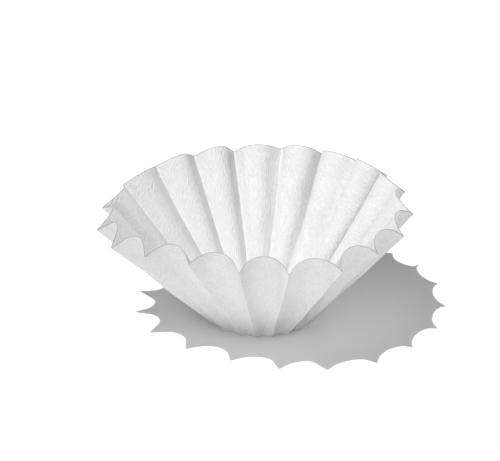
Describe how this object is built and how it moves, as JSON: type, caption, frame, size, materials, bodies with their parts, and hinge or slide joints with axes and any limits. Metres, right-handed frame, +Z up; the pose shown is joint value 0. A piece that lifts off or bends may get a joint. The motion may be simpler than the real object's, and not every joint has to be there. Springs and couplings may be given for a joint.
{
  "type": "paper coffee filter",
  "caption": "Fluted paper coffee filter: one thin sheet pressed into a flat round base and a flared, pleated wall with a scalloped rim, for pour-over brewing.",
  "frame": {"origin": "middle of the flat base's underside, on the surface that the filter stands on", "axes": "+Z up along the filter's axis, -Y towards the viewer of the picture, +X to the viewer's right"},
  "size_m": [0.1411, 0.1382, 0.0592],
  "materials": {
    "filter_paper": "matte, creped"
  },
  "bodies": {
    "root": {"coffee_filter": "filter_paper"}
  },
  "joints": []
}
